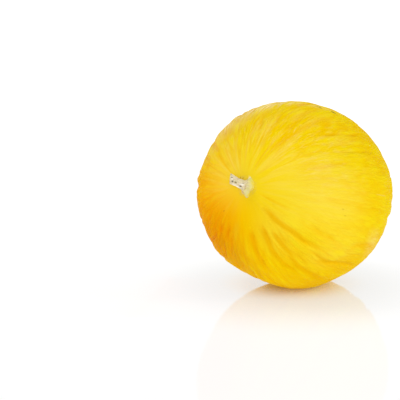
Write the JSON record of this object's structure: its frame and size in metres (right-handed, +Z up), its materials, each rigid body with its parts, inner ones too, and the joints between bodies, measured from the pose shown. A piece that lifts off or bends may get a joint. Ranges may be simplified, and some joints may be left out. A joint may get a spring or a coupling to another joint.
{
  "type": "melon",
  "caption": "Whole yellow melon with lengthwise wrinkles in its rind and a short dry stem, lying on its side on a small flat spot.",
  "frame": {"origin": "on the surface the melon rests on, under the middle of its bounding box", "axes": "+Z up; +Y along the long axis from the stem end towards the blossom end; +X to the right seen from the stem end"},
  "size_m": [0.15, 0.1948, 0.1511],
  "materials": {
    "rind": "waxy satin, bright yellow",
    "dry_stem": "dry, corky and matte, greenish beige"
  },
  "bodies": {
    "root": {"melon_fruit": "rind", "stem_stub": "dry_stem"}
  },
  "joints": []
}
